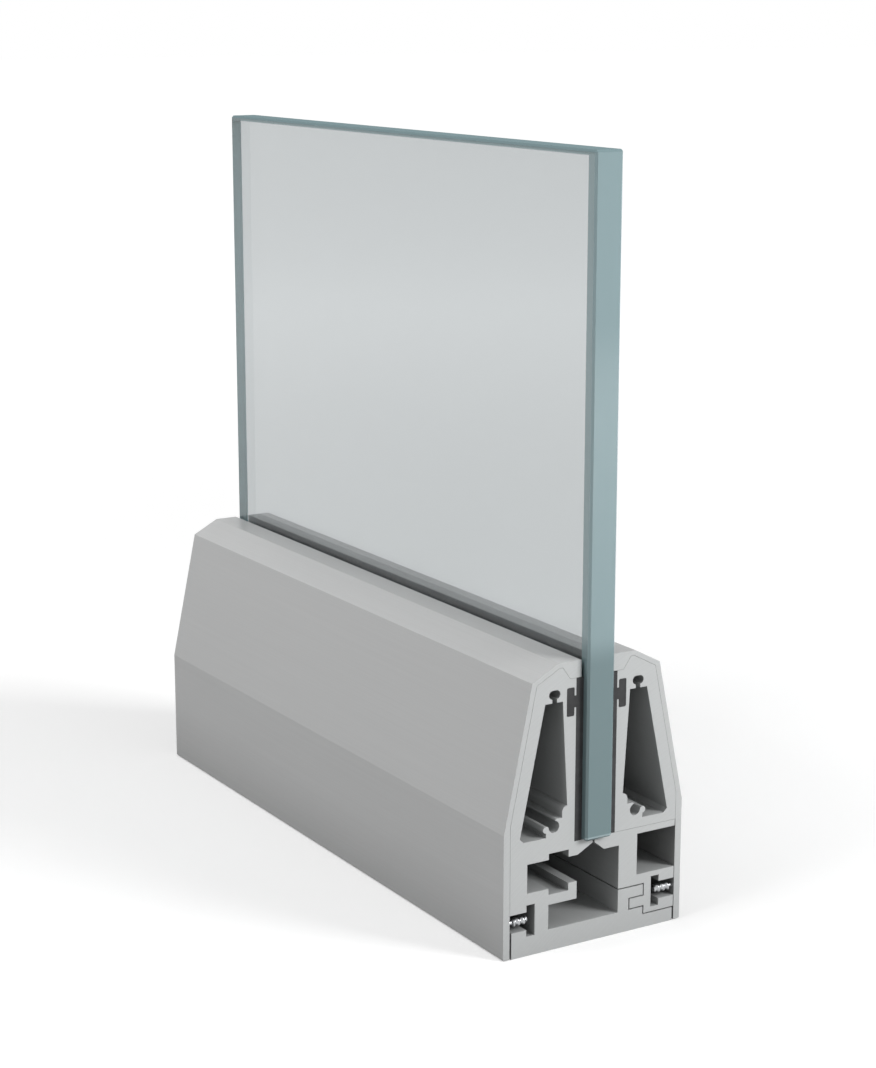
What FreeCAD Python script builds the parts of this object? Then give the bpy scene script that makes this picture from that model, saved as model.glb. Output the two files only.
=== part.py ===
import FreeCAD, Part
import math
import os

# Clamping base shoe for a glass balustrade, as a short cut length with its pane.
# X runs across the shoe, Y along it and Z up. The origin is the middle of the underside
# of the base, below the mid-plane of the glass. Every size is in millimetres.

# Lengths along the shoe
length = 283.0
glass_step = 3.0
glass_recess = 0.7

# Glass pane and its rubber
glass_thickness = 12.0
glass_height = 255.2
glass_arris = 0.8
gasket_thickness = 3.25
gasket_clearance = 0.1
gasket_top_gap = 0.2
pocket_drop = 3.4
pocket_height = 11.0
pocket_depth = 3.4
pocket_lip = 0.75
pocket_mouth = 4.6
pocket_radius = 0.6

# Levels of the base, each thickness or height set by itself
plate_thickness = 8.5
chamber_height = 27.1
floor_thickness = 5.6
jaw_height = 63.5
step_height = 5.3
lip_thickness = 4.2
recess_height = 4.9
shelf_thickness = 4.0

# Reaches from the mid-plane and walls across the base
jaw_reach = 37.7
base_relief = 0.7
foot_relief = 0.2
chamber_right = 11.3
slot_back_wall = 6.1
tail_wall = 7.5
track_lip = 3.8
hook_wall = 5.0
lip_overhang = 6.65
foot_wall = 8.5

# Slots that open outwards low on each side
slot_level = 13.9
slot_mouth = 7.1
slot_height = 12.4
slot_lip = 6.6
slot_depth = 3.7

# Floor below the glass, split in two halves
slit_width = 0.9
notch_rise = 3.6
notch_run_base = 6.7
notch_run_foot = 4.4

# Jaw: crown, slanted back, hollow and screw ports
crown_ledge = 2.75
crown_notch_run = 3.3
crown_notch_depth = 4.7
crown_flat = 1.5
crown_slope_run = 9.85
crown_slope_drop = 5.2
back_bend_rise = 11.0
jaw_foot_wall = 4.1
jaw_shoulder_wall = 3.7
jaw_web_top = 5.9
jaw_web_foot = 3.4
jaw_floor = 3.7
hollow_drop = 8.1
hollow_foot_chamfer = 1.6
shoulder_rise = 11.1
shoulder_depth = 2.2
keyhole_inset = 9.55
keyhole_rise = 3.1
keyhole_width = 5.0
keyhole_height = 3.4
keyhole_neck = 2.1
port_rise = 3.8
port_radius = 2.35
port_wall = 3.65
port_block = 7.15
port_lip_radius = 1.3
port_lip_drop = 0.7
port_tongue = 2.45
port_tongue_rise = 2.2
port_tongue_radius = 0.7

# Covers
cover_roof = 1.9
cover_wall = 2.1
cover_skirt = 2.8
cover_nose_gap = 1.0
cover_lift = 0.3
cover_arris = 0.4

# Clearances between the metal pieces
joint = 0.1
hook_gap = 0.5
seat_gap = 0.05

# Points closer together than this are one point
same_point = 1e-6

# Clamp screws with their nuts, and the holes for ground anchors
screw_diameter = 10.0
screw_length = 45.0
screw_head_diameter = 16.0
screw_head_height = 10.0
screw_socket = 8.0
screw_socket_depth = 5.0
screw_edge = 0.8
screw_hole_clearance = 0.5
screw_inset = 41.5
nut_across = 16.0
nut_thickness = 8.4
nut_side_clearance = 0.1
nut_end_clearance = 0.25
track_mouth_clearance = 0.2
track_tail_clearance = 0.7
head_bay_clearance = 0.25
anchor_hole = 14.0
anchor_spacing = 100.0

# Studs that stand in the side slots, one near each end of each cover
stud_inset = 1.9
stud_diameter = 3.5
stud_length = 8.6
stud_neck_diameter = 1.6
stud_neck_length = 1.6
stud_tip = 0.5
stud_root = 1.0

# Worked out from the sizes above
screw_spacing = length - 2 * screw_inset
stud_spacing = length - 2 * stud_inset
glass_half = glass_thickness / 2
channel_half = glass_half + gasket_thickness
base_reach = jaw_reach - base_relief
foot_reach = jaw_reach - foot_relief
keyhole_reach = channel_half + keyhole_inset
ceiling_level = plate_thickness + chamber_height
floor_level = ceiling_level + floor_thickness
jaw_level = floor_level + jaw_height
screw_level = ceiling_level - screw_diameter / 2 - track_mouth_clearance
slot_neck_reach = base_reach - slot_lip
slot_back_reach = slot_neck_reach - slot_depth
chamber_left = slot_back_reach - slot_back_wall
track_right = chamber_left - nut_thickness - 2 * nut_end_clearance
track_half = nut_across / 2 + nut_side_clearance
shelf_level = screw_level - track_half - shelf_thickness
lip_under_level = plate_thickness + recess_height
lip_top_level = lip_under_level + lip_thickness
lip_reach = chamber_right + hook_wall + lip_overhang
bay_reach = chamber_right + foot_wall
bay_half = screw_head_diameter / 2 + head_bay_clearance
cover_inner_reach = jaw_reach + joint
pocket_top_level = jaw_level - pocket_drop
pocket_middle_level = pocket_top_level - pocket_height / 2
keyhole_level = jaw_level - hollow_drop + keyhole_rise


def meet(a, b, c, d):
    """Point where the line through a and b crosses the line through c and d."""
    ux, uz = b[0] - a[0], b[1] - a[1]
    vx, vz = d[0] - c[0], d[1] - c[1]
    share = ((c[0] - a[0]) * vz - (c[1] - a[1]) * vx) / (ux * vz - uz * vx)
    return (a[0] + share * ux, a[1] + share * uz)


def shifted(a, b, distance):
    """Line through a and b moved by distance to its left-hand side."""
    dx, dz = b[0] - a[0], b[1] - a[1]
    run = math.hypot(dx, dz)
    nx, nz = -dz / run * distance, dx / run * distance
    return (a[0] + nx, a[1] + nz), (b[0] + nx, b[1] + nz)


def parallel(points, distances):
    """Open polyline whose segments run beside those of points, each at its own distance."""
    lines = [shifted(a, b, d) for a, b, d in zip(points, points[1:], distances)]
    inner = [meet(*one, *two) for one, two in zip(lines, lines[1:])]
    return [lines[0][0]] + inner + [lines[-1][1]]


def rounded_corner(before, corner, after, radius):
    """Tangent points and middle point of the arc that rounds a corner."""
    ax, az = before[0] - corner[0], before[1] - corner[1]
    bx, bz = after[0] - corner[0], after[1] - corner[1]
    la, lb = math.hypot(ax, az), math.hypot(bx, bz)
    ax, az, bx, bz = ax / la, az / la, bx / lb, bz / lb
    half = math.acos(max(-1.0, min(1.0, ax * bx + az * bz))) / 2
    reach = radius / math.tan(half)
    mx, mz = ax + bx, az + bz
    lm = math.hypot(mx, mz)
    depth = radius / math.sin(half) - radius
    start = (corner[0] + ax * reach, corner[1] + az * reach)
    end = (corner[0] + bx * reach, corner[1] + bz * reach)
    middle = (corner[0] + mx / lm * depth, corner[1] + mz / lm * depth)
    return start, middle, end


def flat(corners, side=1):
    """Face in the XZ plane. A corner is (x, z) or (x, z, radius); side -1 mirrors it in X."""
    def point(p):
        return FreeCAD.Vector(side * p[0], 0, p[1])

    turns = []
    for index, corner in enumerate(corners):
        if len(corner) == 3:
            after = corners[(index + 1) % len(corners)]
            turns.append(rounded_corner(corners[index - 1], corner, after, corner[2]))
        else:
            turns.append((corner, corner, corner))
    edges = []
    for (start, middle, end), following in zip(turns, turns[1:] + turns[:1]):
        if start != end:
            edges.append(Part.Arc(point(start), point(middle), point(end)).toShape())
        if math.dist(end[:2], following[0][:2]) > same_point:
            edges.append(Part.makeLine(point(end), point(following[0])))
    return Part.Face(Part.Wire(edges))


def disc(x, z, radius, side=1):
    """Round face in the XZ plane."""
    circle = Part.makeCircle(radius, FreeCAD.Vector(side * x, 0, z), FreeCAD.Vector(0, 1, 0))
    return Part.Face(Part.Wire([circle]))


def extruded(section):
    """Solid that carries a flat section along the whole shoe."""
    solid = section.extrude(FreeCAD.Vector(0, length, 0)).Solids[0]
    solid.translate(FreeCAD.Vector(0, -length / 2, 0))
    return solid


def across(radius, start, end, y, z):
    """Cylinder along X from start to end."""
    direction = FreeCAD.Vector(math.copysign(1, end - start), 0, 0)
    return Part.makeCylinder(radius, abs(end - start), FreeCAD.Vector(start, y, z), direction)


def tapered(radius, start, end, y, z):
    """Bevel along X that narrows from radius by its own length."""
    direction = FreeCAD.Vector(math.copysign(1, end - start), 0, 0)
    run = abs(end - start)
    return Part.makeCone(radius, radius - run, run, FreeCAD.Vector(start, y, z), direction)


def hexagon(width, start, depth, y, z):
    """Hexagonal prism along X with flats above and below."""
    radius = width / math.sqrt(3)
    ring = []
    for corner in range(7):
        angle = math.radians(60 * corner)
        ring.append(FreeCAD.Vector(start, y + radius * math.cos(angle), z + radius * math.sin(angle)))
    return Part.Face(Part.makePolygon(ring)).extrude(FreeCAD.Vector(depth, 0, 0))


def stations(spacing):
    """The two places along the shoe that lie a spacing apart."""
    return {"front": -spacing / 2, "rear": spacing / 2}


def crown():
    """Jaw's top and back, from the channel outwards and down to the straight part."""
    notch_foot = channel_half + crown_ledge
    ridge = notch_foot + crown_notch_run
    brow = ridge + crown_flat
    top = jaw_level + crown_notch_depth
    return [
        (channel_half, jaw_level),
        (notch_foot, jaw_level),
        (ridge, top),
        (brow, top),
        (brow + crown_slope_run, top - crown_slope_drop),
        (jaw_reach, floor_level + back_bend_rise),
    ]


def jaw_hollow(side):
    """Tapering hollow of a jaw, with the curled screw port in its foot."""
    floor = floor_level + jaw_floor
    roof = jaw_level - hollow_drop
    ledge = floor + shoulder_rise
    wall_reach = jaw_reach - jaw_foot_wall
    web_foot = channel_half + jaw_web_foot
    inner = web_foot + shoulder_depth
    port_reach = inner + port_wall
    port_level = floor + port_rise
    block = inner + port_block
    lip_level = port_level - port_lip_drop
    tongue_level = port_level + port_tongue_rise
    hollow = flat([
        (block, floor),
        (wall_reach - hollow_foot_chamfer, floor),
        (wall_reach, floor + hollow_foot_chamfer),
        (crown()[4][0] - jaw_shoulder_wall, roof),
        (channel_half + jaw_web_top, roof),
        (web_foot, ledge),
        (inner, ledge, shoulder_depth),
        (inner, tongue_level),
        (block, lip_level),
    ], side)
    lip = disc(block, lip_level, port_lip_radius, side)
    tongue = flat([
        (inner, tongue_level - port_tongue_radius),
        (inner + port_tongue, tongue_level - port_tongue_radius),
        (inner + port_tongue, tongue_level + port_tongue_radius),
        (inner, tongue_level + port_tongue_radius),
    ], side).fuse(disc(inner + port_tongue, tongue_level, port_tongue_radius, side))
    port = disc(port_reach, port_level, port_radius, side)
    return hollow.cut(lip).cut(tongue).fuse(port).removeSplitter()


def keyhole(side):
    """Flattened screw port above a jaw's hollow, open to it through a narrow neck."""
    radius = keyhole_height / 2
    spread = keyhole_width / 2
    roof = jaw_level - hollow_drop
    oval = flat([
        (keyhole_reach - spread, keyhole_level - radius, radius),
        (keyhole_reach + spread, keyhole_level - radius, radius),
        (keyhole_reach + spread, keyhole_level + radius, radius),
        (keyhole_reach - spread, keyhole_level + radius, radius),
    ], side)
    neck = flat([
        (keyhole_reach - keyhole_neck / 2, roof - keyhole_neck / 2),
        (keyhole_reach + keyhole_neck / 2, roof - keyhole_neck / 2),
        (keyhole_reach + keyhole_neck / 2, keyhole_level),
        (keyhole_reach - keyhole_neck / 2, keyhole_level),
    ], side)
    return oval.fuse(neck)


def head_corners(inset):
    """T-shaped head of a gasket, from the channel wall and back; inset 0 gives its pocket."""
    neck_half = pocket_mouth / 2 - inset
    head_half = pocket_height / 2 - inset
    start = channel_half + pocket_lip + inset
    end = channel_half + pocket_lip + pocket_depth - inset
    return [
        (channel_half, pocket_middle_level - neck_half),
        (start, pocket_middle_level - neck_half),
        (start, pocket_middle_level - head_half, pocket_radius),
        (end, pocket_middle_level - head_half, pocket_radius),
        (end, pocket_middle_level + head_half, pocket_radius),
        (start, pocket_middle_level + head_half, pocket_radius),
        (start, pocket_middle_level + neck_half),
        (channel_half, pocket_middle_level + neck_half),
    ]


def slot_corners():
    """Side slot's outline from its mouth's top to its mouth's bottom."""
    mouth = slot_mouth / 2
    height = slot_height / 2
    return [
        (slot_neck_reach, slot_level + mouth),
        (slot_neck_reach, slot_level + height),
        (slot_back_reach, slot_level + height),
        (slot_back_reach, slot_level - height),
        (slot_neck_reach, slot_level - height),
        (slot_neck_reach, slot_level - mouth),
    ]


def left(points):
    """The same points on the left of the mid-plane."""
    return [(-p[0],) + tuple(p[1:]) for p in points]


def base_profile():
    """Base with the left jaw, the side slot, the nut track and the hook for the clamp foot."""
    tail_half = screw_diameter / 2 + track_tail_clearance
    mouth_low = 2 * screw_level - ceiling_level
    tail_reach = jaw_reach - tail_wall
    corners = [
        (base_reach, 0),
        (base_reach, step_height),
        (lip_reach, step_height),
        (lip_reach, plate_thickness),
        (chamber_right + hook_wall, plate_thickness),
        (chamber_right + hook_wall, lip_under_level),
        (lip_reach, lip_under_level),
        (lip_reach, lip_top_level),
        (chamber_right, lip_top_level),
        (chamber_right, plate_thickness),
        (-chamber_left, plate_thickness),
        (-chamber_left, shelf_level),
        (-track_right + track_lip, shelf_level),
        (-track_right + track_lip, mouth_low),
        (-track_right, mouth_low),
        (-track_right, screw_level - track_half),
        (-chamber_left, screw_level - track_half),
        (-chamber_left, screw_level - tail_half),
        (-tail_reach, screw_level - tail_half),
        (-tail_reach, screw_level + tail_half),
        (-chamber_left, screw_level + tail_half),
        (-chamber_left, screw_level + track_half),
        (-track_right, screw_level + track_half),
        (-track_right, ceiling_level),
        (-slit_width - notch_run_base, ceiling_level),
        (-slit_width, ceiling_level + notch_rise),
        (-slit_width, floor_level),
        (-channel_half, floor_level),
    ]
    corners += left(crown())
    corners += [(-jaw_reach, slot_level + slot_mouth / 2)]
    corners += left(slot_corners())
    corners += [(-base_reach, slot_level - slot_mouth / 2), (-base_reach, 0)]
    section = flat(corners).cut([jaw_hollow(-1), keyhole(-1), flat(head_corners(0), -1)])
    solid = extruded(section)
    middle = (chamber_right - chamber_left) / 2
    for y in stations(anchor_spacing).values():
        hole = Part.makeCylinder(anchor_hole / 2, plate_thickness, FreeCAD.Vector(middle, y, 0))
        solid = solid.cut(hole)
    return solid


def clamp_foot():
    """Right half of the floor with its wall, head bay, side slot and hooked tongue."""
    body = lip_reach + hook_gap
    under = lip_top_level + hook_gap
    corners = [
        (0, floor_level),
        (0, ceiling_level + notch_rise),
        (notch_run_foot, ceiling_level),
        (chamber_right, ceiling_level),
        (chamber_right, under),
        (body, under),
        (body, lip_under_level - hook_gap),
        (chamber_right + hook_wall + hook_gap, lip_under_level - hook_gap),
        (chamber_right + hook_wall + hook_gap, plate_thickness + hook_gap),
        (body, plate_thickness + hook_gap),
        (body, step_height + hook_gap),
        (foot_reach, step_height + hook_gap),
        (foot_reach, slot_level - slot_mouth / 2),
    ]
    corners += list(reversed(slot_corners()))
    corners += [
        (foot_reach, slot_level + slot_mouth / 2),
        (foot_reach, screw_level - bay_half),
        (bay_reach, screw_level - bay_half),
        (bay_reach, screw_level + bay_half),
        (foot_reach, screw_level + bay_half),
        (foot_reach, floor_level),
    ]
    solid = extruded(flat(corners))
    for y in stations(screw_spacing).values():
        radius = screw_diameter / 2 + screw_hole_clearance
        solid = solid.cut(across(radius, chamber_right, bay_reach, y, screw_level))
    return solid


def right_jaw():
    """Right jaw, standing on the clamp foot."""
    corners = [(channel_half, floor_level + joint)] + crown() + [(jaw_reach, floor_level + joint)]
    section = flat(corners).cut([jaw_hollow(1), keyhole(1), flat(head_corners(0))])
    return extruded(section)


def cover(side):
    """Thin cladding with a nose over the jaw's notch, a slanted face and a straight skirt."""
    top = crown()
    inner = parallel(top + [(jaw_reach, cover_lift)], [joint] * len(top))
    inner[0] = (glass_half + cover_nose_gap, inner[0][1])
    brow = top[3]
    roof = brow[1] + joint + cover_roof
    run = [(channel_half, brow[1])] + top[3:] + [(jaw_reach, cover_lift)]
    walls = [cover_roof, cover_roof, cover_wall, cover_skirt]
    outer = parallel(run, [joint + wall for wall in walls])
    rounded = [corner + (cover_arris,) for corner in outer[1:-1]]
    nose = (glass_half + cover_nose_gap, roof, cover_arris)
    foot = (cover_inner_reach + cover_skirt, cover_lift, cover_arris)
    corners = inner + [foot] + list(reversed(rounded)) + [nose]
    solid = extruded(flat(corners, side))
    for y in stations(stud_spacing).values():
        start = side * cover_inner_reach
        end = side * (cover_inner_reach + stud_root + seat_gap)
        hole = across(stud_neck_diameter / 2 + seat_gap, start, end, y, slot_level)
        solid = solid.cut(hole)
    return solid


def gasket(side):
    """Rubber strip between the jaw and the glass, held by its T-shaped head."""
    corners = [(glass_half, floor_level), (channel_half, floor_level)]
    corners += head_corners(gasket_clearance)
    corners += [(channel_half, jaw_level - gasket_top_gap), (glass_half, jaw_level - gasket_top_gap)]
    return extruded(flat(corners, side))


def glass_pane():
    """Pane with ground arrises, which stands out of one cut and just behind the other."""
    run = length + glass_step - glass_recess
    pane = Part.makeBox(glass_thickness, run, glass_height)
    pane.translate(FreeCAD.Vector(-glass_half, -length / 2 - glass_step, floor_level))
    return pane.makeChamfer(glass_arris, pane.Edges)


def cover_stud(side, y):
    """Stud from a cover into the side slot: root, thin neck and thread with a blunt tip."""
    face = side * cover_inner_reach
    root = face + side * stud_root
    shoulder = face - side * stud_neck_length
    tip = face - side * stud_length
    bevel = tip + side * stud_tip
    neck = across(stud_neck_diameter / 2, root, shoulder, y, slot_level)
    thread = across(stud_diameter / 2, shoulder, bevel, y, slot_level)
    point = tapered(stud_diameter / 2, bevel, tip, y, slot_level)
    return neck.fuse([thread, point]).removeSplitter()


def clamp_screw(y):
    """Socket-head screw from the head bay through the foot's wall into the nut."""
    crest = bay_reach + screw_head_height
    tip = bay_reach - screw_length
    rim = crest - screw_edge
    bevel = tip + screw_edge
    head = across(screw_head_diameter / 2, bay_reach, rim, y, screw_level)
    head_rim = tapered(screw_head_diameter / 2, rim, crest, y, screw_level)
    shank = across(screw_diameter / 2, bay_reach, bevel, y, screw_level)
    point = tapered(screw_diameter / 2, bevel, tip, y, screw_level)
    socket = hexagon(screw_socket, crest - screw_socket_depth, screw_socket_depth, y, screw_level)
    return head.fuse([head_rim, shank, point]).cut(socket).removeSplitter()


def clamp_nut(y):
    """Hexagon nut held from turning in the track of the base."""
    face = -track_right - nut_end_clearance
    nut = hexagon(nut_across, face - nut_thickness, nut_thickness, y, screw_level)
    bore = across(screw_diameter / 2 + seat_gap, face - nut_thickness, face, y, screw_level)
    return nut.cut(bore)


def build():
    """All pieces by name."""
    pieces = {
        "base_profile": base_profile(),
        "clamp_foot": clamp_foot(),
        "right_jaw": right_jaw(),
        "left_cover": cover(-1),
        "right_cover": cover(1),
        "left_gasket": gasket(-1),
        "right_gasket": gasket(1),
        "glass_pane": glass_pane(),
    }
    for place, y in stations(screw_spacing).items():
        pieces["clamp_screw_" + place] = clamp_screw(y)
        pieces["clamp_nut_" + place] = clamp_nut(y)
    for place, y in stations(stud_spacing).items():
        pieces["left_stud_" + place] = cover_stud(-1, y)
        pieces["right_stud_" + place] = cover_stud(1, y)
    return pieces


os.makedirs("parts", exist_ok=True)
for name, shape in build().items():
    shape.exportStep("parts/" + name + ".step")
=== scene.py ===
import math

import bmesh
import bpy
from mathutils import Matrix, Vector


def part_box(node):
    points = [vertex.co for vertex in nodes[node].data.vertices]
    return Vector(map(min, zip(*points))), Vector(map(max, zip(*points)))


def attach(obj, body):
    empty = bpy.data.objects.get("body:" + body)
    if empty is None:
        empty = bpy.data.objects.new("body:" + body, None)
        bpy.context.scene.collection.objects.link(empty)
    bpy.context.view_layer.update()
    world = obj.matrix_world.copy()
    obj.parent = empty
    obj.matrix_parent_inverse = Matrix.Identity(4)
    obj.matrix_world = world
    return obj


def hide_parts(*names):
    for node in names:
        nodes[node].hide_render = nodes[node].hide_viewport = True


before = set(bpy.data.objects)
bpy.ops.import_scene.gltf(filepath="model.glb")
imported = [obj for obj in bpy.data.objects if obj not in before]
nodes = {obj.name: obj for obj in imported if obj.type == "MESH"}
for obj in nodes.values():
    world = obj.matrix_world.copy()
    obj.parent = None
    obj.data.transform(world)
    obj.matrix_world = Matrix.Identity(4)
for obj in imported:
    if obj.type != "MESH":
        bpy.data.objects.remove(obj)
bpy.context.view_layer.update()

# Clamping base shoe for a glass balustrade: the looks around its solids.
# X runs across the shoe, Y along it and Z up, in metres.

# Camera, at the place from which the picture was drawn; angles in degrees, lens and sensor in mm
camera_place = (-0.47985, -0.8165, 0.34824)
camera_down = 12.979
camera_turn = -31.340
camera_lens = 78.50
camera_sensor = 36.0
camera_clip = (0.01, 60.0)

# Lamps: place, side length and watts, all aimed at one point
lamp_target = (0, 0, 0.1)
lamps = {
    "key": ((0.85, -1.15, 0.80), 0.6, 20.0),
    "top": ((-0.35, 0.1, 1.40), 0.8, 3.8),
    "left": ((-1.05, 0.0, 1.20), 0.8, 10.2),
}

# World and floor; the glow evens out how the lamps fall off with distance
world_fill = 0.35
background = (1.0, 1.0, 1.0)
floor_colour = 0.80
floor_bounce = 0.18
floor_rough = 0.9
floor_reach = 12.0
floor_glow_near = 0.19
floor_glow_far = 0.74
floor_glow_reach = 1.9

# Colours, linear
profile_colour = (0.56, 0.575, 0.575)
cover_colour = (0.49, 0.495, 0.495)
rubber_colour = (0.020, 0.020, 0.021)
pane_colour = (0.54, 0.567, 0.575)
# Painted reflection of the edge along the near and upper borders of the pane's faces
painted_border_reflection = (0.205, 0.290, 0.305)
pane_edge = (0.365, 0.510, 0.540)
# Painted shade on the edge where the rubber holds it
pane_edge_held_shade = (0.235, 0.350, 0.370)
# Painted shade on the far and the upper edge
pane_edge_far_shade = (0.30, 0.42, 0.44)
pane_edge_top_shade = (0.19, 0.265, 0.28)
# Painted highlight at the foot of the edge
pane_foot_highlight = (0.46, 0.60, 0.63)
screw_colour = (0.34, 0.35, 0.37)
stud_colour = (0.46, 0.47, 0.48)

# Noise scales along X, Y and Z; the saw marks run with the distance from saw_centre
die_lines = (2600, 9, 2600)
metal_clouds = (60, 14, 60)
rubber_grain = (5200, 1800, 5200)
rubber_dust = (180, 40, 180)
pane_smear = (30, 12, 12)
turning_marks = (9000, 300, 300)
saw_centre = (0.160, 0.0, -0.210)
saw_scale = 1500.0

# Bump strength and depth
metal_bump = (0.10, 0.00010)
rubber_bump = (0.25, 0.00008)
steel_bump = (0.12, 0.00005)

# Aluminium
metal_contrast = 0.018
metal_share = 0.10
profile_rough = 0.42
cover_rough = 0.40
rough_below = 0.05
rough_above = 0.07

# Painted shade in the aluminium's colour where little open air is in reach: its reach, and its depth on
# drawn faces and on cut ends
hollow_reach = 0.030
hollow_shade = 0.50
cut_shade = 0.25
shade_samples = 8

# Rubber
dust_gain = 2.2
dust_range = (0.40, 0.80)
rubber_rough = (0.62, 0.82)

# Steel
mark_dark = 0.86
mark_rough = 0.12
screw_rough = 0.30
stud_rough = 0.24

# Pane: the widths of its painted reflection of the edge along the borders of its faces, the levels
# between which the painted shade on the held part of the edge turns into the free part, and how clear
# its faces and edges are
pane_low, pane_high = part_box("glass_pane")
border_near = 0.0045
border_top = 0.0020
border_soft = 0.0002
arris_reach = 0.00085
held_level = 0.108
free_level = 0.121
# Height of the painted highlight at the foot of the edge
foot_height = 0.0014
face_clearness = 0.94
edge_clearness = 0.25
pane_rough = (0.0, 0.04)
pane_ior = 1.5
pane_specular = 0.5

# Least share of the normal with which a face counts as a cut end or as a face of the pane
cut_facing = 0.85
pane_facing = 0.9

# Studs
stud_crest = 0.00175
stud_root = 0.00115
stud_pitch = 0.0022
stud_roundness = 0.75
stud_neck = 0.0008
stud_neck_length = 0.0027
stud_neck_flare = 0.0004
stud_tip = 0.0007
stud_tip_share = 0.55
stud_around = 40
stud_steps = 90


def material(name):
    """New node material with a Principled shader; returns it, its nodes, links and shader."""
    made = bpy.data.materials.new(name)
    made.use_nodes = True
    tree = made.node_tree
    return made, tree.nodes, tree.links, tree.nodes["Principled BSDF"]


def stretched_noise(nodes_, links, scale, detail=3.0, roughness=0.55):
    """Noise in object space with its own scale on each axis."""
    where = nodes_.new("ShaderNodeTexCoord")
    mapping = nodes_.new("ShaderNodeMapping")
    mapping.inputs["Scale"].default_value = scale
    noise = nodes_.new("ShaderNodeTexNoise")
    noise.inputs["Scale"].default_value = 1.0
    noise.inputs["Detail"].default_value = detail
    noise.inputs["Roughness"].default_value = roughness
    links.new(where.outputs["Object"], mapping.inputs["Vector"])
    links.new(mapping.outputs["Vector"], noise.inputs["Vector"])
    return noise.outputs["Fac"]


def ramp(nodes_, links, source, low, high, start=0.35, end=0.65):
    """Colour ramp between two colours."""
    made = nodes_.new("ShaderNodeValToRGB")
    made.color_ramp.elements[0].position = start
    made.color_ramp.elements[1].position = end
    made.color_ramp.elements[0].color = (*low, 1)
    made.color_ramp.elements[1].color = (*high, 1)
    links.new(source, made.inputs["Fac"])
    return made.outputs["Color"]


def spread(nodes_, links, source, low, high):
    """Map Range from 0..1 to low..high."""
    made = nodes_.new("ShaderNodeMapRange")
    made.inputs["To Min"].default_value = low
    made.inputs["To Max"].default_value = high
    links.new(source, made.inputs["Value"])
    return made.outputs["Result"]


def maths(nodes_, links, operation, first, second=None):
    """Math node over sockets or numbers."""
    made = nodes_.new("ShaderNodeMath")
    made.operation = operation
    for slot, value in enumerate((first, second)):
        if value is None:
            continue
        if isinstance(value, (int, float)):
            made.inputs[slot].default_value = value
        else:
            links.new(value, made.inputs[slot])
    return made.outputs[0]


def mixed(nodes_, links, factor, first, second):
    """Colour mix over sockets or colours."""
    made = nodes_.new("ShaderNodeMix")
    made.data_type = "RGBA"
    links.new(factor, made.inputs[0])
    for slot, value in ((6, first), (7, second)):
        if isinstance(value, tuple):
            made.inputs[slot].default_value = (*value, 1)
        else:
            links.new(value, made.inputs[slot])
    return made.outputs[2]


def bump(nodes_, links, height, strength, distance):
    """Bump node."""
    made = nodes_.new("ShaderNodeBump")
    made.inputs["Strength"].default_value = strength
    made.inputs["Distance"].default_value = distance
    links.new(height, made.inputs["Height"])
    return made.outputs["Normal"]


def tinted(colour, factor):
    """Colour times a factor, up to 1."""
    return tuple(min(1.0, share * factor) for share in colour)


def cut_mask(nodes_, links):
    """1 on faces that look along the shoe, 0 elsewhere."""
    where = nodes_.new("ShaderNodeTexCoord")
    split = nodes_.new("ShaderNodeSeparateXYZ")
    links.new(where.outputs["Normal"], split.inputs["Vector"])
    size = maths(nodes_, links, "ABSOLUTE", split.outputs["Y"])
    return maths(nodes_, links, "GREATER_THAN", size, cut_facing)


def saw_marks(nodes_, links):
    """Uneven arcs that a saw blade leaves on a cut face."""
    where = nodes_.new("ShaderNodeTexCoord")
    flat = nodes_.new("ShaderNodeVectorMath")
    flat.operation = "MULTIPLY"
    flat.inputs[1].default_value = (1, 0, 1)
    links.new(where.outputs["Object"], flat.inputs[0])
    away = nodes_.new("ShaderNodeVectorMath")
    away.operation = "DISTANCE"
    away.inputs[1].default_value = saw_centre
    links.new(flat.outputs["Vector"], away.inputs[0])
    noise = nodes_.new("ShaderNodeTexNoise")
    noise.noise_dimensions = "1D"
    noise.inputs["Scale"].default_value = saw_scale
    noise.inputs["Detail"].default_value = 2.0
    links.new(away.outputs["Value"], noise.inputs["W"])
    return noise.outputs["Fac"]


def shaded(nodes_, links, colour, cut):
    """Colour with painted shade, darker where little of the open air is in reach, less so on cut ends.
    """
    open_air = nodes_.new("ShaderNodeAmbientOcclusion")
    open_air.samples = shade_samples
    open_air.inputs["Distance"].default_value = hollow_reach
    share = nodes_.new("ShaderNodeMapRange")
    links.new(open_air.outputs["AO"], share.inputs["Value"])
    links.new(spread(nodes_, links, cut, 1 - hollow_shade, 1 - cut_shade), share.inputs["To Min"])
    made = nodes_.new("ShaderNodeMix")
    made.data_type = "RGBA"
    made.blend_type = "MULTIPLY"
    made.inputs[0].default_value = 1.0
    links.new(colour, made.inputs[6])
    links.new(share.outputs["Result"], made.inputs[7])
    return made.outputs[2]


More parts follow.
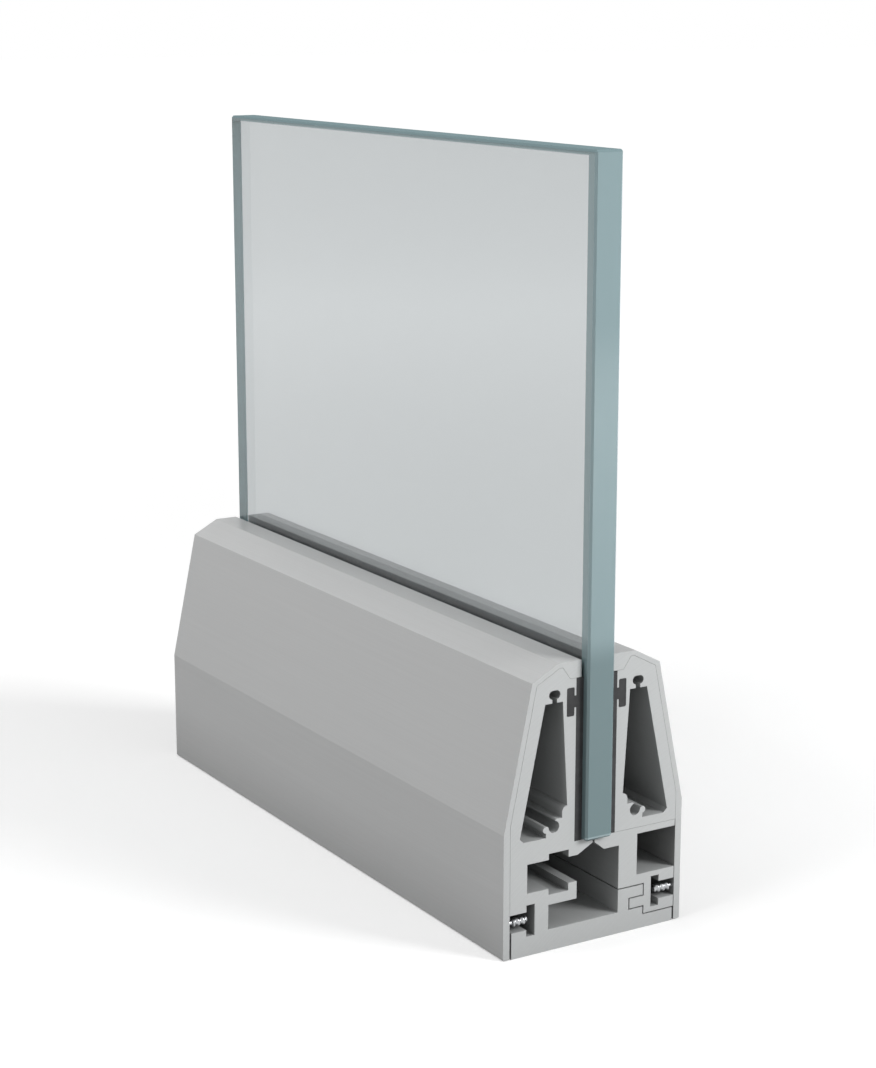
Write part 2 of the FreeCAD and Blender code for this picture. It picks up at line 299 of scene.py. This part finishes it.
def extruded_metal(name, colour, cut_colour, rough):
    """Aluminium with die lines along the shoe, saw marks on its cut ends, and painted shade where little
    open air is in reach.
    """
    made, nodes_, links, shader = material(name)
    lines = stretched_noise(nodes_, links, die_lines)
    clouds = stretched_noise(nodes_, links, metal_clouds, detail=2.0)
    saw = saw_marks(nodes_, links)
    mask = cut_mask(nodes_, links)
    darker = 1 - metal_contrast
    lighter = 1 + metal_contrast
    along = ramp(nodes_, links, lines, tinted(colour, darker), tinted(colour, lighter))
    across = ramp(nodes_, links, saw, tinted(cut_colour, darker), tinted(cut_colour, lighter))
    bare = mixed(nodes_, links, mask, along, across)
    # Painted shade: the base colour darkens where little open air is in reach
    links.new(shaded(nodes_, links, bare, mask), shader.inputs["Base Color"])
    uneven = spread(nodes_, links, clouds, rough - rough_below, rough + rough_above)
    links.new(uneven, shader.inputs["Roughness"])
    height = mixed(nodes_, links, mask, lines, saw)
    links.new(bump(nodes_, links, height, *metal_bump), shader.inputs["Normal"])
    shader.inputs["Metallic"].default_value = metal_share
    return made


def rubber(name):
    """Matt black rubber with a fine grain and a light dust in it."""
    made, nodes_, links, shader = material(name)
    grain = stretched_noise(nodes_, links, rubber_grain, detail=2.0)
    dust = stretched_noise(nodes_, links, rubber_dust, detail=4.0)
    pale = tinted(rubber_colour, dust_gain)
    links.new(ramp(nodes_, links, dust, rubber_colour, pale, *dust_range), shader.inputs["Base Color"])
    links.new(spread(nodes_, links, grain, *rubber_rough), shader.inputs["Roughness"])
    links.new(bump(nodes_, links, grain, *rubber_bump), shader.inputs["Normal"])
    return made


def near(nodes_, links, value, edge, width, sign):
    """Soft mask: 1 within this width of the edge, on the side that sign gives, 0 beyond."""
    inside = maths(nodes_, links, "SUBTRACT", value, edge)
    inside = maths(nodes_, links, "MULTIPLY", inside, sign)
    made = nodes_.new("ShaderNodeMapRange")
    made.inputs["From Min"].default_value = width - border_soft
    made.inputs["From Max"].default_value = width + border_soft
    made.inputs["To Min"].default_value = 1.0
    made.inputs["To Max"].default_value = 0.0
    links.new(inside, made.inputs["Value"])
    return made.outputs["Result"]


def pane_glass(name):
    """Clear glass, greyish over its faces and teal along its edges, with a teal painted reflection of
    the edge along the near and upper borders of its faces, painted shade on the held, the far and the
    upper part of the edge, and a painted highlight at its foot.
    """
    made, nodes_, links, shader = material(name)
    where = nodes_.new("ShaderNodeTexCoord")
    place = nodes_.new("ShaderNodeSeparateXYZ")
    links.new(where.outputs["Object"], place.inputs["Vector"])
    facing = nodes_.new("ShaderNodeSeparateXYZ")
    links.new(where.outputs["Normal"], facing.inputs["Vector"])

    # Masks: borders of the faces, where the edge's reflection is painted, all edges, their foot, where a
    # highlight is painted, and the far and the upper edge, which get painted shade
    close = near(nodes_, links, place.outputs["Y"], pane_low[1], border_near, 1.0)
    top = near(nodes_, links, place.outputs["Z"], pane_high[2], border_top, -1.0)
    reflection_band = maths(nodes_, links, "MAXIMUM", close, top)
    side = maths(nodes_, links, "ABSOLUTE", facing.outputs["X"])
    edge = maths(nodes_, links, "LESS_THAN", side, pane_facing)
    foot_highlight = near(nodes_, links, place.outputs["Z"], pane_low[2], foot_height, 1.0)
    far = maths(nodes_, links, "GREATER_THAN", place.outputs["Y"], pane_high[1] - arris_reach)
    upper = maths(nodes_, links, "GREATER_THAN", place.outputs["Z"], pane_high[2] - arris_reach)

    # Painted shade: the edge is darker where the rubber holds it
    free = nodes_.new("ShaderNodeMapRange")
    free.interpolation_type = "SMOOTHSTEP"
    free.inputs["From Min"].default_value = held_level
    free.inputs["From Max"].default_value = free_level
    links.new(place.outputs["Z"], free.inputs["Value"])

    # Painted reflection of the edge along the borders of the faces
    face = mixed(nodes_, links, reflection_band, pane_colour, painted_border_reflection)
    rim = mixed(nodes_, links, free.outputs["Result"], pane_edge_held_shade, pane_edge)
    # Painted highlight at the foot of the edge
    rim = mixed(nodes_, links, foot_highlight, rim, pane_foot_highlight)
    # Painted shade on the far and the upper edge
    rim = mixed(nodes_, links, far, rim, pane_edge_far_shade)
    rim = mixed(nodes_, links, upper, rim, pane_edge_top_shade)
    links.new(mixed(nodes_, links, edge, face, rim), shader.inputs["Base Color"])
    smear = stretched_noise(nodes_, links, pane_smear)
    links.new(spread(nodes_, links, smear, *pane_rough), shader.inputs["Roughness"])
    shader.inputs["IOR"].default_value = pane_ior

    # The far and the upper edge are dull, so that nothing mirrors in them from inside
    ground = maths(nodes_, links, "MAXIMUM", edge, reflection_band)
    clear = spread(nodes_, links, ground, face_clearness, edge_clearness)
    dull = maths(nodes_, links, "MAXIMUM", far, upper)
    open_part = maths(nodes_, links, "SUBTRACT", 1.0, dull)
    clear = maths(nodes_, links, "MULTIPLY", clear, open_part)
    links.new(clear, shader.inputs["Transmission Weight"])
    mirror = maths(nodes_, links, "MULTIPLY", open_part, pane_specular)
    links.new(mirror, shader.inputs["Specular IOR Level"])
    return made


def turned_metal(name, colour, rough):
    """Plated steel with fine marks round its own axis, which runs along X."""
    made, nodes_, links, shader = material(name)
    rings = stretched_noise(nodes_, links, turning_marks, detail=2.0)
    dark = tinted(colour, mark_dark)
    links.new(ramp(nodes_, links, rings, dark, colour), shader.inputs["Base Color"])
    links.new(spread(nodes_, links, rings, rough, rough + mark_rough), shader.inputs["Roughness"])
    links.new(bump(nodes_, links, rings, *steel_bump), shader.inputs["Normal"])
    shader.inputs["Metallic"].default_value = 1.0
    return made


def stud_radius(run, length, angle, side):
    """Radius of a stud at a distance from its outer end and an angle round its axis."""
    turn = (run / stud_pitch + side * angle / math.tau) % 1.0
    wave = 0.5 + 0.5 * math.cos(math.tau * turn)
    radius = stud_root + (stud_crest - stud_root) * wave ** stud_roundness
    if run < stud_neck_length:
        radius = stud_neck
    elif run < stud_neck_length + stud_neck_flare:
        share = (run - stud_neck_length) / stud_neck_flare
        radius = stud_neck + (radius - stud_neck) * share
    left_over = length - run
    if left_over < stud_tip:
        radius *= stud_tip_share + (1 - stud_tip_share) * left_over / stud_tip
    return radius


def threaded_stud(name, node):
    """Stud with a coarse rounded thread, a thin neck at the cover and a blunt tip."""
    low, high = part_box(node)
    side = 1.0 if low[0] > 0 else -1.0
    start = high[0] if side > 0 else low[0]
    length = high[0] - low[0]
    middle = Vector((0, (low[1] + high[1]) / 2, (low[2] + high[2]) / 2))
    mesh = bmesh.new()
    rings = []
    for step in range(stud_steps + 1):
        run = length * step / stud_steps
        ring = []
        for place in range(stud_around):
            angle = math.tau * place / stud_around
            radius = stud_radius(run, length, angle, side)
            offset = Vector((0, math.cos(angle) * radius, math.sin(angle) * radius))
            ring.append(mesh.verts.new(Vector((start - side * run, 0, 0)) + middle + offset))
        rings.append(ring)
    for first, second in zip(rings, rings[1:]):
        for place in range(stud_around):
            after = (place + 1) % stud_around
            mesh.faces.new((first[place], first[after], second[after], second[place]))
    mesh.faces.new(rings[0])
    mesh.faces.new(list(reversed(rings[-1])))
    bmesh.ops.recalc_face_normals(mesh, faces=mesh.faces)
    data = bpy.data.meshes.new(name)
    mesh.to_mesh(data)
    mesh.free()
    for face in data.polygons:
        face.use_smooth = len(face.vertices) == 4
    piece = bpy.data.objects.new(name, data)
    bpy.context.scene.collection.objects.link(piece)
    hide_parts(node)
    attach(piece, "root")
    return piece


# Materials on the solids that stay
metal = extruded_metal("mill_aluminium", profile_colour, profile_colour, profile_rough)
satin = extruded_metal("satin_aluminium", cover_colour, profile_colour, cover_rough)
black = rubber("black_rubber")
glass = pane_glass("pane_glass")
zinc = turned_metal("zinc_steel", screw_colour, screw_rough)
bright = turned_metal("bright_steel", stud_colour, stud_rough)

dressed = {
    "base_profile": metal,
    "clamp_foot": metal,
    "right_jaw": metal,
    "left_cover": satin,
    "right_cover": satin,
    "left_gasket": black,
    "right_gasket": black,
    "glass_pane": glass,
    "clamp_screw_front": zinc,
    "clamp_screw_rear": zinc,
    "clamp_nut_front": zinc,
    "clamp_nut_rear": zinc,
}
for node, look in dressed.items():
    for place in nodes[node].material_slots:
        place.material = look

# Studs in the side slots
for node in ("left_stud_front", "left_stud_rear", "right_stud_front", "right_stud_rear"):
    stud = threaded_stud(node + "_thread", node)
    stud.data.materials.append(bright)


def seen_directly(nodes_, links):
    """1 for camera, mirror and see-through rays."""
    path = nodes_.new("ShaderNodeLightPath")
    first = maths(nodes_, links, "MAXIMUM", path.outputs["Is Camera Ray"], path.outputs["Is Glossy Ray"])
    return maths(nodes_, links, "MAXIMUM", first, path.outputs["Is Transmission Ray"])


def floor_stage():
    """Wide pale floor that keeps the shadow; its glow makes up for the lamps' fall-off."""
    data = bpy.data.meshes.new("floor")
    reach = floor_reach
    corners = [(-reach, -reach, 0), (reach, -reach, 0), (reach, reach, 0), (-reach, reach, 0)]
    data.from_pydata(corners, [], [(0, 1, 2, 3)])
    floor = bpy.data.objects.new("floor", data)
    bpy.context.scene.collection.objects.link(floor)
    made, nodes_, links, shader = material("floor_white")
    seen = seen_directly(nodes_, links)
    pale = mixed(nodes_, links, seen, (floor_bounce,) * 3, (floor_colour,) * 3)
    links.new(pale, shader.inputs["Base Color"])
    shader.inputs["Roughness"].default_value = floor_rough
    shader.inputs["Specular IOR Level"].default_value = 0.0
    shader.inputs["Emission Color"].default_value = (*background, 1)
    where = nodes_.new("ShaderNodeTexCoord")
    away = nodes_.new("ShaderNodeVectorMath")
    away.operation = "LENGTH"
    links.new(where.outputs["Object"], away.inputs[0])
    level = nodes_.new("ShaderNodeMapRange")
    level.interpolation_type = "SMOOTHSTEP"
    level.inputs["From Max"].default_value = floor_glow_reach
    level.inputs["To Min"].default_value = floor_glow_near
    level.inputs["To Max"].default_value = floor_glow_far
    links.new(away.outputs["Value"], level.inputs["Value"])
    glow = maths(nodes_, links, "MULTIPLY", seen, level.outputs["Result"])
    links.new(glow, shader.inputs["Emission Strength"])
    floor.data.materials.append(made)


def world_light():
    """Even fill from all round, and plain white behind the object."""
    world = bpy.data.worlds.new("studio")
    world.use_nodes = True
    bpy.context.scene.world = world
    tree = world.node_tree
    fill = tree.nodes["Background"]
    fill.inputs["Color"].default_value = (*background, 1)
    level = spread(tree.nodes, tree.links, seen_directly(tree.nodes, tree.links), world_fill, 1.0)
    tree.links.new(level, fill.inputs["Strength"])


def area_light(name, place, size, power):
    """Soft square lamp."""
    lamp = bpy.data.lights.new(name, "AREA")
    lamp.shape = "SQUARE"
    lamp.size = size
    lamp.energy = power
    holder = bpy.data.objects.new(name, lamp)
    holder.location = place
    aim = Vector(lamp_target) - Vector(place)
    holder.rotation_euler = aim.to_track_quat("-Z", "Y").to_euler()
    bpy.context.scene.collection.objects.link(holder)


def photo_camera():
    """Camera at the picture's place, angle and field of view."""
    data = bpy.data.cameras.new("camera")
    data.sensor_fit = "VERTICAL"
    data.sensor_height = camera_sensor
    data.lens = camera_lens
    data.clip_start, data.clip_end = camera_clip
    holder = bpy.data.objects.new("camera", data)
    holder.location = camera_place
    holder.rotation_euler = (math.radians(90 - camera_down), 0, math.radians(camera_turn))
    bpy.context.scene.collection.objects.link(holder)
    bpy.context.scene.camera = holder


floor_stage()
world_light()
for lamp_name, (lamp_place, lamp_size, lamp_power) in lamps.items():
    area_light(lamp_name, lamp_place, lamp_size, lamp_power)
photo_camera()
bpy.context.scene.view_settings.view_transform = "Standard"
